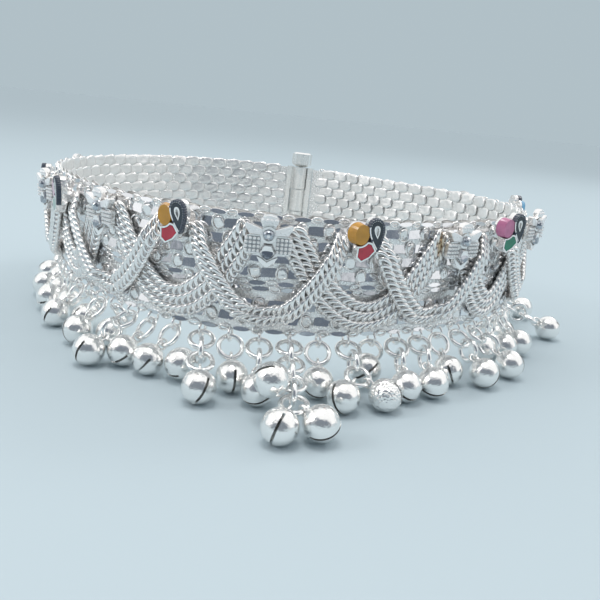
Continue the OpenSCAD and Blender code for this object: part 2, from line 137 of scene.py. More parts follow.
def links_tree():
    """Lays one link again and again along paths, turned about the path, swung to and fro and uneven."""
    tree = bpy.data.node_groups.new("Lay links along a path", "GeometryNodeTree")
    face = tree.interface
    face.new_socket("Geometry", in_out="INPUT", socket_type="NodeSocketGeometry")
    for title, kind, value in (("Link", "NodeSocketObject", None), ("Pitch", "NodeSocketFloat", 0.001),
                               ("Roll", "NodeSocketFloat", 0.0), ("Tilt", "NodeSocketFloat", 0.0),
                               ("Swing", "NodeSocketFloat", 0.0), ("Unevenness", "NodeSocketFloat", 0.0),
                               ("Seed", "NodeSocketInt", 1), ("Material", "NodeSocketMaterial", None)):
        socket = face.new_socket(title, in_out="INPUT", socket_type=kind)
        if value is not None:
            socket.default_value = value
    face.new_socket("Geometry", in_out="OUTPUT", socket_type="NodeSocketGeometry")
    add, link = tree.nodes.new, tree.links.new
    given, result = add("NodeGroupInput"), add("NodeGroupOutput")
    curve = add("GeometryNodeMeshToCurve")
    spaced = add("GeometryNodeResampleCurve")
    spaced.mode = "LENGTH"
    stretch = add("GeometryNodeInputNamedAttribute")
    stretch.data_type = "FLOAT"
    stretch.inputs["Name"].default_value = "stretch"
    spacing = add("ShaderNodeMath")
    spacing.operation = "MULTIPLY"
    tangent = add("GeometryNodeInputTangent")
    out = add("GeometryNodeInputNamedAttribute")
    out.data_type = "FLOAT_VECTOR"
    out.inputs["Name"].default_value = "out"
    stand = add("FunctionNodeAxesToRotation")
    stand.primary_axis, stand.secondary_axis = "X", "Z"
    angles = add("ShaderNodeCombineXYZ")
    uneven = add("FunctionNodeRandomValue")
    uneven.data_type = "FLOAT_VECTOR"
    uneven.inputs[0].default_value, uneven.inputs[1].default_value = (-1, -1, -1), (1, 1, 1)
    scaled = add("ShaderNodeVectorMath")
    scaled.operation = "SCALE"
    total = add("ShaderNodeVectorMath")
    total.operation = "ADD"
    turned = add("FunctionNodeEulerToRotation")
    rotate = add("FunctionNodeRotateRotation")
    rotate.rotation_space = "LOCAL"
    info = add("GeometryNodeObjectInfo")
    place = add("GeometryNodeInstanceOnPoints")
    shade = add("GeometryNodeStoreNamedAttribute")
    shade.data_type, shade.domain = "FLOAT", "INSTANCE"
    shade.inputs["Name"].default_value = "shade"
    tone = add("FunctionNodeRandomValue")
    tone.data_type = "FLOAT"
    realize = add("GeometryNodeRealizeInstances")
    coat = add("GeometryNodeSetMaterial")
    link(given.outputs["Geometry"], curve.inputs[0])
    link(curve.outputs[0], spaced.inputs["Curve"])
    link(given.outputs["Pitch"], spacing.inputs[0])
    link(stretch.outputs["Attribute"], spacing.inputs[1])
    link(spacing.outputs[0], spaced.inputs["Length"])
    link(tangent.outputs[0], stand.inputs["Primary Axis"])
    link(out.outputs["Attribute"], stand.inputs["Secondary Axis"])
    link(given.outputs["Roll"], angles.inputs[0])
    link(given.outputs["Tilt"], angles.inputs[1])
    link(given.outputs["Swing"], angles.inputs[2])
    link(given.outputs["Seed"], uneven.inputs["Seed"])
    link(uneven.outputs[0], scaled.inputs[0])
    link(given.outputs["Unevenness"], scaled.inputs["Scale"])
    link(angles.outputs[0], total.inputs[0])
    link(scaled.outputs[0], total.inputs[1])
    link(total.outputs[0], turned.inputs[0])
    link(stand.outputs[0], rotate.inputs[0])
    link(turned.outputs[0], rotate.inputs[1])
    link(given.outputs["Link"], info.inputs["Object"])
    link(spaced.outputs[0], place.inputs["Points"])
    link(info.outputs["Geometry"], place.inputs["Instance"])
    link(rotate.outputs[0], place.inputs["Rotation"])
    link(place.outputs[0], shade.inputs["Geometry"])
    link(given.outputs["Seed"], tone.inputs["Seed"])
    link(tone.outputs[1], shade.inputs["Value"])
    link(shade.outputs[0], realize.inputs[0])
    link(realize.outputs[0], coat.inputs["Geometry"])
    link(given.outputs["Material"], coat.inputs["Material"])
    link(coat.outputs[0], result.inputs[0])
    return tree


LINKS = links_tree()


def lay(name, paths, link_piece, material, **values):
    """The links of one kind along their paths, as one plain mesh."""
    route = paths_object(name + "_route", paths)
    modifier = route.modifiers.new("links", "NODES")
    modifier.node_group = LINKS
    settings = {"Link": link_piece, "Material": material, "Seed": 1, **values}
    for item in LINKS.interface.items_tree:
        if item.item_type == "SOCKET" and item.in_out == "INPUT" and item.name in settings:
            modifier[item.identifier] = settings[item.name]
    bpy.context.view_layer.update()
    depsgraph = bpy.context.evaluated_depsgraph_get()
    mesh = bpy.data.meshes.new_from_object(route.evaluated_get(depsgraph))
    mesh.name = name
    route.modifiers.remove(modifier)
    bpy.data.objects.remove(route)
    piece = bpy.data.objects.new(name, mesh)
    bpy.context.scene.collection.objects.link(piece)
    return piece


def joined(name, parts):
    """Several plain meshes as one piece."""
    bpy.ops.object.select_all(action="DESELECT")
    for part in parts:
        part.select_set(True)
    bpy.context.view_layer.objects.active = parts[0]
    bpy.ops.object.join()
    parts[0].name = name
    parts[0].data.name = name
    return parts[0]


ROW_POINTS = 170
END_CLEAR, END_SLACK = 1.0, 0.02


def wall_row(up, pitch, first, out, inward=False):
    """A row round the band: one link stands at first, the others a pitch apart, clear of the band's ends."""
    start = first + math.ceil((BAND_START + END_CLEAR - first) / pitch) * pitch
    end = first + math.floor((BAND_END - END_CLEAR - first) / pitch) * pitch + END_SLACK
    s = np.linspace(start, end, ROW_POINTS)
    points = wall_point(s, out, up)
    length = np.linalg.norm(np.diff(points, axis=0), axis=1).sum() / MM
    facing = wall_out(s)
    return points, -facing if inward else facing, length / (end - start) * pitch / LINK_PITCH


# The reach of the painted shade is how far round the ambient occlusion looks for nearby surfaces.
WAVE_DEPTH, SCRATCH_DEPTH, PAINTED_SHADE_REACH = 0.0004, 0.0001, 0.0008
STAIN_AT, STAIN_SIZE = (0.0202, -0.0283, 0.0211), (0.0008, 0.0022, 0.0026)
STAIN_EDGE, STAIN_STRENGTH, STAIN_BROWN = (1.0, 0.3), 1.9, (0.42, 0.25, 0.07, 1)


def stain(tree, where, swell, tone, colour):
    """The one brown stain, beside the silver motif to the right of the front ones."""
    add, link = tree.nodes.new, tree.links.new
    shrink = add("ShaderNodeMapping")
    shrink.vector_type = "TEXTURE"
    shrink.inputs["Location"].default_value = STAIN_AT
    shrink.inputs["Scale"].default_value = STAIN_SIZE
    link(where.outputs["Object"], shrink.inputs["Vector"])
    reach = add("ShaderNodeVectorMath")
    reach.operation = "LENGTH"
    link(shrink.outputs[0], reach.inputs[0])
    inside = add("ShaderNodeMapRange")
    inside.inputs["From Min"].default_value, inside.inputs["From Max"].default_value = STAIN_EDGE
    link(reach.outputs["Value"], inside.inputs["Value"])
    ragged = add("ShaderNodeMath")
    ragged.operation = "MULTIPLY"
    ragged.use_clamp = True
    link(inside.outputs[0], ragged.inputs[0])
    link(swell.outputs["Fac"], ragged.inputs[1])
    stronger = add("ShaderNodeMath")
    stronger.operation = "MULTIPLY"
    stronger.use_clamp = True
    stronger.inputs[1].default_value = STAIN_STRENGTH
    link(ragged.outputs[0], stronger.inputs[0])
    brown = add("ShaderNodeMix")
    brown.data_type = "RGBA"
    brown.inputs[6].default_value = (*tone, 1)
    brown.inputs[7].default_value = STAIN_BROWN
    link(stronger.outputs[0], brown.inputs[0])
    if colour:
        link(colour, brown.inputs[6])
    return brown.outputs[2]


def silver(name, tone, roughness, spread=0.06, grain=900.0, bump=0.02, painted_shade=0.0, shade=0.0,
           metal=0.9, wave=(300.0, 0.0), stained=False):
    """Polished silver with uneven gloss, fine scratches and slight waves, and painted shade darkening the
    recesses.

    The shade is how much darker the darkest link is than the brightest; the painted shade is how much darker
    the colour grows in the deepest recesses.
    """
    material = bpy.data.materials.new(name)
    material.use_nodes = True
    tree = material.node_tree
    add, link = tree.nodes.new, tree.links.new
    skin = tree.nodes["Principled BSDF"]
    skin.inputs["Metallic"].default_value = metal
    skin.inputs["Base Color"].default_value = (*tone, 1)
    where = add("ShaderNodeTexCoord")
    cloud = add("ShaderNodeTexNoise")
    cloud.inputs["Scale"].default_value = grain
    cloud.inputs["Detail"].default_value = 3.0
    link(where.outputs["Object"], cloud.inputs["Vector"])
    gloss = add("ShaderNodeMapRange")
    gloss.inputs["To Min"].default_value = max(0.02, roughness - spread)
    gloss.inputs["To Max"].default_value = roughness + spread
    gloss.inputs["From Min"].default_value, gloss.inputs["From Max"].default_value = 0.3, 0.7
    link(cloud.outputs["Fac"], gloss.inputs["Value"])
    link(gloss.outputs[0], skin.inputs["Roughness"])
    swell = add("ShaderNodeTexNoise")
    swell.inputs["Scale"].default_value = wave[0]
    link(where.outputs["Object"], swell.inputs["Vector"])
    slope = add("ShaderNodeBump")
    slope.inputs["Strength"].default_value = wave[1]
    slope.inputs["Distance"].default_value = WAVE_DEPTH
    link(swell.outputs["Fac"], slope.inputs["Height"])
    dent = add("ShaderNodeBump")
    dent.inputs["Strength"].default_value = bump
    dent.inputs["Distance"].default_value = SCRATCH_DEPTH
    link(cloud.outputs["Fac"], dent.inputs["Height"])
    link(slope.outputs[0], dent.inputs["Normal"])
    link(dent.outputs[0], skin.inputs["Normal"])
    colour = None
    # Painted shade: the base colour darkens where ambient occlusion finds the surface hemmed in, in creases,
    # recesses and between links.
    if painted_shade:
        hollow = add("ShaderNodeAmbientOcclusion")
        hollow.inputs["Distance"].default_value = PAINTED_SHADE_REACH
        hollow.samples = 6
        dark = add("ShaderNodeMix")
        dark.data_type = "RGBA"
        dark.inputs[6].default_value = (*(c * (1 - painted_shade) for c in tone), 1)
        dark.inputs[7].default_value = (*tone, 1)
        link(hollow.outputs["AO"], dark.inputs[0])
        colour = dark.outputs[2]
    if shade:
        own = add("ShaderNodeAttribute")
        own.attribute_name = "shade"
        worn = add("ShaderNodeMix")
        worn.data_type = "RGBA"
        worn.inputs[7].default_value = (*(c * (1 - shade) for c in tone), 1)
        if colour:
            link(colour, worn.inputs[6])
        else:
            worn.inputs[6].default_value = (*tone, 1)
        link(own.outputs["Fac"], worn.inputs[0])
        colour = worn.outputs[2]
    if stained:
        colour = stain(tree, where, swell, tone, colour)
    if colour:
        link(colour, skin.inputs["Base Color"])
    return material


def oval_ring(name, length, width, wire, around=12, sides=6):
    """A link bent from wire, lying in its own XY plane."""
    verts, faces = [], []
    for i in range(around):
        a = 2 * math.pi * i / around
        c = np.array([length / 2 * math.cos(a), width / 2 * math.sin(a), 0])
        n = np.array([width * math.cos(a), length * math.sin(a), 0])
        n /= np.linalg.norm(n)
        for j in range(sides):
            b = 2 * math.pi * (j + 0.5) / sides
            round_wire = n * math.cos(b) + np.array([0, 0, math.sin(b)])
            verts.append((c + wire * round_wire) * MM)
    for i in range(around):
        for j in range(sides):
            a, b = i * sides + j, i * sides + (j + 1) % sides
            c, d = (i + 1) % around * sides + (j + 1) % sides, (i + 1) % around * sides + j
            faces.append((a, d, c, b))
    piece = mesh_object(name, verts, faces)
    smooth(piece)
    return piece


SHOULDER_FALL, FOOT_SPREAD = 0.08, 1.6


def cut_stud(name, outline, face_z, shoulder, base_z):
    """A flat cut face in its own XY plane with a sloped shoulder round it; the outline is its corners."""
    rings = []
    for grow, z in ((1.0, face_z), (1.0 + shoulder, face_z - SHOULDER_FALL),
                    (1.0 + FOOT_SPREAD * shoulder, base_z)):
        rings.append([(x * grow * MM, y * grow * MM, z * MM) for x, y in outline])
    n = len(outline)
    faces = [tuple(range(n))]
    for k in range(2):
        for i in range(n):
            a, b = k * n + i, k * n + (i + 1) % n
            faces.append((a, a + n, b + n, b))
    faces.append(tuple(reversed(range(2 * n, 3 * n))))
    return mesh_object(name, [v for ring in rings for v in ring], faces)


PILLOW_RINGS = ((0.45, 0.95), (0.8, 1.0), (1.0, 0.45), (1.0, -0.3))
PILLOW_MIDDLE, PILLOW_ROUND = 0.8, 0.6


def pillow(name, length, width, height, around=14):
    """A rounded flat link; each of its rings is a share of its size and of its height."""
    verts = [(0, 0, height * PILLOW_MIDDLE * MM)]
    faces = []
    for share, z in PILLOW_RINGS:
        for i in range(around):
            a = 2 * math.pi * i / around
            c, s = math.cos(a), math.sin(a)
            x = math.copysign(abs(c) ** PILLOW_ROUND, c) * length / 2 * share
            y = math.copysign(abs(s) ** PILLOW_ROUND, s) * width / 2 * share
            verts.append((x * MM, y * MM, z * height * MM))
    for i in range(around):
        faces.append((0, 1 + i, 1 + (i + 1) % around))
        for ring in range(len(PILLOW_RINGS) - 1):
            a, b = 1 + ring * around + i, 1 + ring * around + (i + 1) % around
            faces.append((a, a + around, b + around, b))
    piece = mesh_object(name, verts, faces)
    smooth(piece)
    return piece


# The silver of the band darkens in its recesses and between its links: painted shade.
core_silver = silver("silver_between_links", (0.96, 0.95, 0.93), 0.25, grain=3000, bump=0.8, painted_shade=0.1,
                     metal=0.6)
link_silver = silver("silver_woven_links", (0.99, 0.97, 0.95), 0.15, grain=1800, bump=0.15, painted_shade=0.12,
                     shade=0.08, metal=0.85, wave=(500.0, 0.3), stained=True)
cut_silver = silver("silver_cut_faces", (0.94, 0.95, 0.97), 0.08, spread=0.03, grain=1500, bump=0.04,
                    shade=0.2, metal=0.95, wave=(400.0, 0.06))
eye_silver = silver("silver_eyes", (0.99, 0.97, 0.95), 0.16, grain=2200, bump=0.5, painted_shade=0.1, shade=0.12,
                    metal=0.8, wave=(800.0, 0.6))
inner_silver = silver("silver_inner_links", (1.0, 0.985, 0.96), 0.2, grain=2000, bump=0.2, shade=0.06,
                      metal=0.5, wave=(700.0, 0.6))

CORE_HALF, CORE_EDGE_IN = 0.38, 0.3
CORE_TOP = MID_H - CORE_EDGE_IN
section = [(-CORE_HALF, -CORE_TOP), (CORE_HALF, -CORE_TOP), (CORE_HALF, CORE_TOP), (-CORE_HALF, CORE_TOP)]
core_s = np.linspace(BAND_START, BAND_END, ROW_POINTS)
core_verts = np.stack([wall_point(core_s, o, u) for o, u in section], 1).reshape(-1, 3)
core_faces = [(3, 2, 1, 0)]
for i in range(len(core_s) - 1):
    for j in range(4):
        k = (j + 1) % 4
        core_faces.append((4 * i + j, 4 * i + k, 4 * i + 4 + k, 4 * i + 4 + j))
core_faces.append(tuple(4 * (len(core_s) - 1) + j for j in range(4)))
core = mesh_object("band_core", core_verts, core_faces)
core.data.materials.append(core_silver)

FACET = ((-1.12, -0.56), (0.75, -0.62), (0.98, -0.5), (1.14, 0.5), (1.0, 0.62), (-0.75, 0.6), (-0.95, 0.5))
EDGE_OVAL_HALF = (1.12, 0.3)
EDGE_OVAL = [(EDGE_OVAL_HALF[0] * math.cos(math.radians(a)), EDGE_OVAL_HALF[1] * math.sin(math.radians(a)))
             for a in range(0, 360, 30)]
facet = cut_stud("facet", FACET, face_z=0.14, shoulder=0.09, base_z=-0.3)
oval = cut_stud("oval", EDGE_OVAL, face_z=0.12, shoulder=0.12, base_z=-0.25)
eye = pillow("eye", length=1.5, width=1.75, height=0.26)
eye_ring = oval_ring("eye_ring", length=1.75, width=2.2, wire=0.14, around=14, sides=5)
edge_ring = oval_ring("edge_ring", length=1.5, width=0.8, wire=0.17, around=12, sides=5)
brick = pillow("brick", length=4.0, width=2.3, height=0.16)

OUTER_SUNK, INNER_SUNK, RING_PROUD = 0.14, 0.2, 0.02
outside = BAND_T / 2 - OUTER_SUNK
inside = INNER_SUNK - BAND_T / 2
LEAN_UP = math.radians(17)
LINK_SPACING = LINK_PITCH * MM


def between(rows):
    """Rows of the same pitch and height, with their links in the middle between the given ones."""
    return [(up, pitch, first + pitch / 2) for up, pitch, first in rows]


facets = lay("band_facets", [wall_row(*row, outside) for row in BRICK_ROWS], facet, cut_silver,
             Pitch=LINK_SPACING, Roll=-LEAN_UP, Unevenness=0.07, Seed=3)
ovals = lay("band_ovals", [wall_row(*row, outside) for row in OVAL_ROWS], oval, cut_silver,
            Pitch=LINK_SPACING, Roll=-LEAN_UP, Unevenness=0.07, Seed=5)
eyes = lay("band_eyes", [wall_row(*row, outside) for row in between(BRICK_ROWS)], eye, eye_silver,
           Pitch=LINK_SPACING, Roll=0.05, Swing=0.25, Unevenness=0.22, Seed=7)
eye_rings = lay("band_eye_rings", [wall_row(*row, outside + RING_PROUD) for row in between(BRICK_ROWS)],
                eye_ring, link_silver,
                Pitch=LINK_SPACING, Roll=0.1, Tilt=0.24, Swing=0.35, Unevenness=0.2, Seed=8)
edge_rings = lay("band_edge_rings", [wall_row(*row, outside) for row in between(OVAL_ROWS)],
                 edge_ring, link_silver,
                 Pitch=LINK_SPACING, Roll=0.1, Unevenness=0.14, Seed=9)
bricks = lay("band_inner_links", [wall_row(*row, inside, True) for row in INNER_ROWS], brick, inner_silver,
             Pitch=LINK_SPACING, Roll=0.03, Tilt=0.1, Swing=0.12, Unevenness=0.07, Seed=11)

# Wire loops soldered along the hem, one for each drop of the fringe.
# Each is a round silver ring standing across the band, its top sunk into the edge.
FIRST_DROP, LAST_DROP, DROP_PITCH = -31, 29, 4.2
HEM_LOOP_R, HEM_LOOP_WIRE, HEM_LOOP_H = 1.05, 0.2, -0.75
hem_ring = oval_ring("hem_ring", 2 * HEM_LOOP_R, 2 * HEM_LOOP_R, HEM_LOOP_WIRE, around=20, sides=8)
hem_parts = []
for i in range(FIRST_DROP, LAST_DROP + 1):
    s = i * DROP_PITCH
    foot = wall_point(s, 0, -MID_H)
    stand = Matrix.Translation((foot[0], foot[1], (HEM_Z + HEM_LOOP_H) * MM))
    heading = Matrix.Rotation(float(heading_at(s)), 4, "Z")
    loop = bpy.data.objects.new("hem_loop", hem_ring.data.copy())
    bpy.context.scene.collection.objects.link(loop)
    loop.data.transform(stand @ heading @ Matrix.Rotation(math.pi / 2, 4, "Y"))
    hem_parts.append(loop)
hem_loops = joined("hem_loops", hem_parts)
hem_loops.data.materials.append(link_silver)

for piece in (core, facets, ovals, eyes, eye_rings, edge_rings, bricks, hem_loops):
    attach(piece, "anklet")
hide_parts("band")
for pattern in (facet, oval, eye, eye_ring, edge_ring, brick, hem_ring):
    bpy.data.objects.remove(pattern)


# Festoons: bundles of silver curb chains, three side by side from silver motif to silver motif
# and two side by side from enamelled motif to enamelled motif, which pass over the others.
# Every chain is a row of twisted oval wire links.
MOTIF_PITCH = 13.2
MOTIF_SHIFTS = {-6: 2.5, -5: 3.5, -4: 6.0, -3: 2.0, -2: 1.1, -1: 1.4, 0: 0.2,
                1: -1.0, 2: 2.2, 3: -2.0, 4: -3.4, 5: 3.0, 6: 4.3}
CHAIN_T, CHAIN_GAP, CURB_PITCH = 1.1, 0.1, 0.95
SILVER_PLACES, ENAMEL_PLACES = range(-6, 7, 2), range(-5, 6, 2)
FESTOON_END, FESTOON_RISE, FESTOON_NARROW, FESTOON_POINTS = 0.79, 18.0, 0.35, 40
OVER_FROM, OVER_TO, OVER_LIFT = (0.14, 0.24), (0.71, 0.79), 1.25


def motif_s(k):
    return k * MOTIF_PITCH + MOTIF_SHIFTS.get(k, 0.0)


def festoon_strands(k, count, width, low, lifted):
    """The chains of one festoon, side by side; a lifted one passes over the others."""
    centre = (motif_s(k - 1) + motif_s(k + 1)) / 2
    pitch = (motif_s(k + 1) - motif_s(k - 1)) / 2
    u = np.linspace(-FESTOON_END, FESTOON_END, FESTOON_POINTS)
    slope = np.arctan2(2 * FESTOON_RISE * u, pitch)
    share = 1 - FESTOON_NARROW * (np.abs(u) / FESTOON_END) ** 2
    lift = np.minimum(np.clip((np.abs(u) - OVER_FROM[0]) / (OVER_FROM[1] - OVER_FROM[0]), 0, 1),
                      np.clip((OVER_TO[1] - np.abs(u)) / (OVER_TO[1] - OVER_TO[0]), 0, 1))
    out = BAND_T / 2 + CHAIN_GAP + CHAIN_T / 2 + (OVER_LIFT if lifted else 0.0) * lift
    strands = []
    for lane in range(count):
        across = (lane - (count - 1) / 2) * width
        s = centre + u * pitch - share * across * np.sin(slope)
        up = low + FESTOON_RISE * u * u + share * across * np.cos(slope)
        strands.append((wall_point(s, out, up), wall_out(s), 1.0))
    return strands


# The chain's silver darkens between its links: painted shade.
chain_silver = silver("silver_curb_chain", (0.99, 0.97, 0.95), 0.14, grain=2200, bump=0.15, painted_shade=0.1,
                      shade=0.08, metal=0.85, stained=True)
curb_link = oval_ring("curb_link", length=1.73, width=1.0, wire=0.34, around=12, sides=6)
# Each bundle as its name, its solid, the places of its lowest points, the number of its chains,
# their distance from each other, the height of the lowest point, and whether it passes over the others
for name, node, places, count, width, low, lifted in (
        ("wide_festoon_chains", "wide_festoons", ENAMEL_PLACES, 3, 1.5, -5.15, False),
        ("slim_festoon_chains", "slim_festoons", SILVER_PLACES[1:-1], 2, 1.3, -5.6, True)):
    strands = [strand for k in places for strand in festoon_strands(k, count, width, low, lifted)]
    chains = lay(name, strands, curb_link, chain_silver,
                 Pitch=CURB_PITCH * MM, Roll=0.6, Swing=0.6, Unevenness=0.08, Seed=13)
    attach(chains, "anklet")
    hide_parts(node)
bpy.data.objects.remove(curb_link)


# Cast silver motifs: bead, faceted drop, leaves and dotted panels, cast in one piece and soldered on a post.
# The raised parts are polished, and the hollows are darkened with painted shade.
# The settings of the enamelled motifs are of the same silver.
cast_silver = silver("silver_cast", (0.99, 0.97, 0.95), 0.16, grain=1600, bump=0.3, painted_shade=0.4, metal=0.75,
                     wave=(500.0, 0.7), stained=True)
for name, node in nodes.items():
    if name.startswith("silver_motif") or name.startswith("enamel_setting"):
        node.data.materials.clear()
        node.data.materials.append(cast_silver)

SILVER_H, ENAMEL_H = MID_H - 2.2, MID_H - 2.35
PLATE_GAP = 0.2
PLATE_OUT = BAND_T / 2 + PLATE_GAP + CHAIN_T
TURN_REACH = 3.2
MOTIF_TURNS = {-4: 11, -3: -6, 3: -15, 4: -10}
MOTIF_LIFTS = {-5: -1.5, -3: -0.6, 3: 0.9, 4: 1.4, 5: 0.7}
# Outlines of the raised forms, in the plane of a motif
LEAF = ((0.7, 0.7), (2.9, 1.5), (3.15, 1.3), (3.05, 0.85), (2.5, 0.05), (0.7, -0.05))
FAN = ((-1.1, 1.45), (-1.2, 2), (-0.85, 2.45), (0, 2.65), (0.85, 2.45), (1.2, 2), (1.1, 1.45))
PANEL = ((1.0, -0.3), (2.5, -0.3), (3.0, -0.5), (3.0, -2.25), (2.75, -2.45), (1.05, -2.45))
FACETED_AT = -2.25
FACETED = ((-0.6, 1.15), (0.6, 1.15), (1.2, -0.1), (0.7, -0.8), (0, -1.2), (-0.7, -0.8), (-1.2, -0.1))
# Rings of the caps, each as its share of the outline, how far out it stands, and its lean
LEAF_STEPS, LEAF_PEAK = ((1.0, 0.7, 0), (0.97, 0.9, 0), (0.88, 0.95, 0)), 0.97
PANEL_STEPS, PANEL_PEAK = ((1.0, 0.5, 0), (1.0, 0.63, 0)), 0.63
FACETED_STEPS, FACETED_PEAK = ((0.88, 0.9, 0), (0.64, 1.28, 0.3)), 1.32
# Dots: rows of short rods, from and to a height out from the plane of a motif
DOT_R, DOT_STEP, DOT_SIDES, DOT_COUNT = 0.21, 0.54, 8, 4
PANEL_DOT, PANEL_DOT_OUT = (1.25, -0.55), (0.5, 0.98)
FAN_DOT_UP, FAN_DOT_OUT = 1.95, (0.8, 1.16)
BEAD_R, BEAD_SKIN, BEAD_OUT = 0.75, 0.03, 0.9
# The rounded top of a rod: rings, each as its share of the radius and how far it is below the tip
ROD_TOP = ((1.0, 0.12), (0.72, 0.03), (0.3, 0.0))


def motif_place(k, height):
    """The frame of a motif: X along the band, -Y outwards, Z up, in millimetres."""
    turn = math.radians(MOTIF_TURNS.get(k, 0))
    s = motif_s(k)
    foot = wall_point(s, PLATE_OUT + TURN_REACH * math.sin(abs(turn)), height + MOTIF_LIFTS.get(k, 0.0))
    return (Matrix.Translation(foot) @ Matrix.Rotation(float(heading_at(s)), 4, "Z")
            @ Matrix.Rotation(BAND_LEAN, 4, "X") @ Matrix.Rotation(turn, 4, "Z") @ Matrix.Scale(MM, 4))


def rod(verts, faces, place, foot, radius, low, high, sides=7):
    """A short upright rod with a rounded top, standing in the plane of a motif."""
    first = len(verts)
    for share, out in ((1.0, low), *((share, high - below) for share, below in ROD_TOP)):
        for j in range(sides):
            b = 2 * math.pi * j / sides
            verts.append(place @ Vector((foot[0] + radius * share * math.cos(b), -out,
                                         foot[1] + radius * share * math.sin(b))))
    for ring in range(len(ROD_TOP)):
        for j in range(sides):
            a, b = first + ring * sides + j, first + ring * sides + (j + 1) % sides
            faces.append((a, b, b + sides, a + sides))
    faces.append(tuple(first + len(ROD_TOP) * sides + j for j in range(sides)))


def bead(verts, faces, place, radius, out, rings=7, sides=14):
    """A round bead with flat cut faces, its middle out from the plane of a motif."""
    first = len(verts)
    for ring in range(rings):
        a = math.pi * (ring + 1) / (rings + 1)
        for j in range(sides):
            b = 2 * math.pi * j / sides
            verts.append(place @ Vector((radius * math.sin(a) * math.cos(b), -out - radius * math.cos(a),
                                         radius * math.sin(a) * math.sin(b))))
    for ring in range(rings - 1):
        for j in range(sides):
            a, b = first + ring * sides + j, first + ring * sides + (j + 1) % sides
            faces.append((a, a + sides, b + sides, b))
    faces.append(tuple(first + j for j in range(sides)))
    faces.append(tuple(first + (rings - 1) * sides + j for j in reversed(range(sides))))


def cap(verts, faces, place, outline, steps, peak, side=1):
    """A thin cap over a raised form; each ring is a share of the outline, a height out and a lean."""
    corners = [Vector((side * x, z)) for x, z in outline][::side]
    middle = sum(corners, Vector((0, 0))) / len(corners)
    first, n = len(verts), len(corners)
    for share, out, lean in steps:
        for corner in corners:
            p = middle + (corner - middle) * share
            verts.append(place @ Vector((p.x, lean * (p.y - middle.y) - out, p.y)))
    verts.append(place @ Vector((middle.x, -peak, middle.y)))
    for ring in range(len(steps) - 1):
        for j in range(n):
            a, b = first + ring * n + j, first + ring * n + (j + 1) % n
            faces.append((a, a + n, b + n, b))
    top = first + (len(steps) - 1) * n
    faces.extend((top + j, first + len(steps) * n, top + (j + 1) % n) for j in range(n))


# The polish and the painted dark of the silver motifs: satin leaves and fan, mirror-cut bead and drop,
# and rows of dots over panels painted dark as the shade between the dots. All are thin caps on the cast
# forms.
leaf_silver = silver("silver_leaves", (1.0, 0.99, 0.98), 0.3, grain=2400, bump=0.2, metal=0.2,
                     wave=(500.0, 0.3))
# A darker grey tone: painted dark reflection in the polished bead and drop.
mirror_silver = silver("silver_beads_and_drops_painted_dark", (0.5, 0.53, 0.57), 0.07, spread=0.03, grain=1500,
                       bump=0.03, metal=0.98, wave=(700.0, 0.2))
# Painted shade: dark grey panels under the dots stand in for the shade between them.
panel_shade_silver = silver("silver_panels_painted_shade", (0.4, 0.41, 0.42), 0.35, grain=2600, bump=0.5, metal=0.8)
leaves, panels, dots, cuts = ([], []), ([], []), ([], []), ([], [])
for k in SILVER_PLACES:
    place = motif_place(k, SILVER_H)
    for side in (-1, 1):
        cap(*leaves, place, LEAF, LEAF_STEPS, LEAF_PEAK, side)
        cap(*panels, place, PANEL, PANEL_STEPS, PANEL_PEAK, side)
        for column in range(DOT_COUNT):
            for row in range(DOT_COUNT):
                foot = (side * (PANEL_DOT[0] + column * DOT_STEP), PANEL_DOT[1] - row * DOT_STEP)
                rod(*dots, place, foot, DOT_R, *PANEL_DOT_OUT, DOT_SIDES)
    cap(*leaves, place, FAN, LEAF_STEPS, LEAF_PEAK)
    for column in range(DOT_COUNT):
        foot = ((column - (DOT_COUNT - 1) / 2) * DOT_STEP, FAN_DOT_UP)
        rod(*dots, place, foot, DOT_R, *FAN_DOT_OUT, DOT_SIDES)
    drop_place = place @ Matrix.Translation((0, 0, FACETED_AT))
    cap(*cuts, drop_place, FACETED, FACETED_STEPS, FACETED_PEAK)
    bead(*cuts, place, BEAD_R + BEAD_SKIN, BEAD_OUT)
for name, caps, material in (("motif_leaves", leaves, leaf_silver), ("motif_panels", panels, panel_shade_silver),
                             ("motif_dots", dots, leaf_silver), ("motif_cut_faces", cuts, mirror_silver)):
    piece = mesh_object(name, *caps)
    piece.data.materials.append(material)
    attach(piece, "anklet")
    if name == "motif_dots":
        smooth(piece)


# Enamel: glassy colour fired into the cells of the six enamelled motifs.
# The oval stands proud of its silver base, and the other cells are filled level.
ENAMELS = {
    "enamel_yellow": (0.62, 0.29, 0.02),
    "enamel_red": (0.55, 0.02, 0.05),
    "enamel_pink": (0.62, 0.2, 0.36),
    "enamel_green": (0.01, 0.23, 0.13),
    "enamel_sky": (0.12, 0.42, 0.68),
    "enamel_blue": (0.02, 0.05, 0.3),
    "enamel_black": (0.014, 0.026, 0.04),
}
GLASS_ROUGH, GLAZE, GLAZE_ROUGH = 0.12, 0.6, 0.04
CLOUD_SCALE, RIPPLE, RIPPLE_DEPTH = 700.0, 0.15, 0.0001


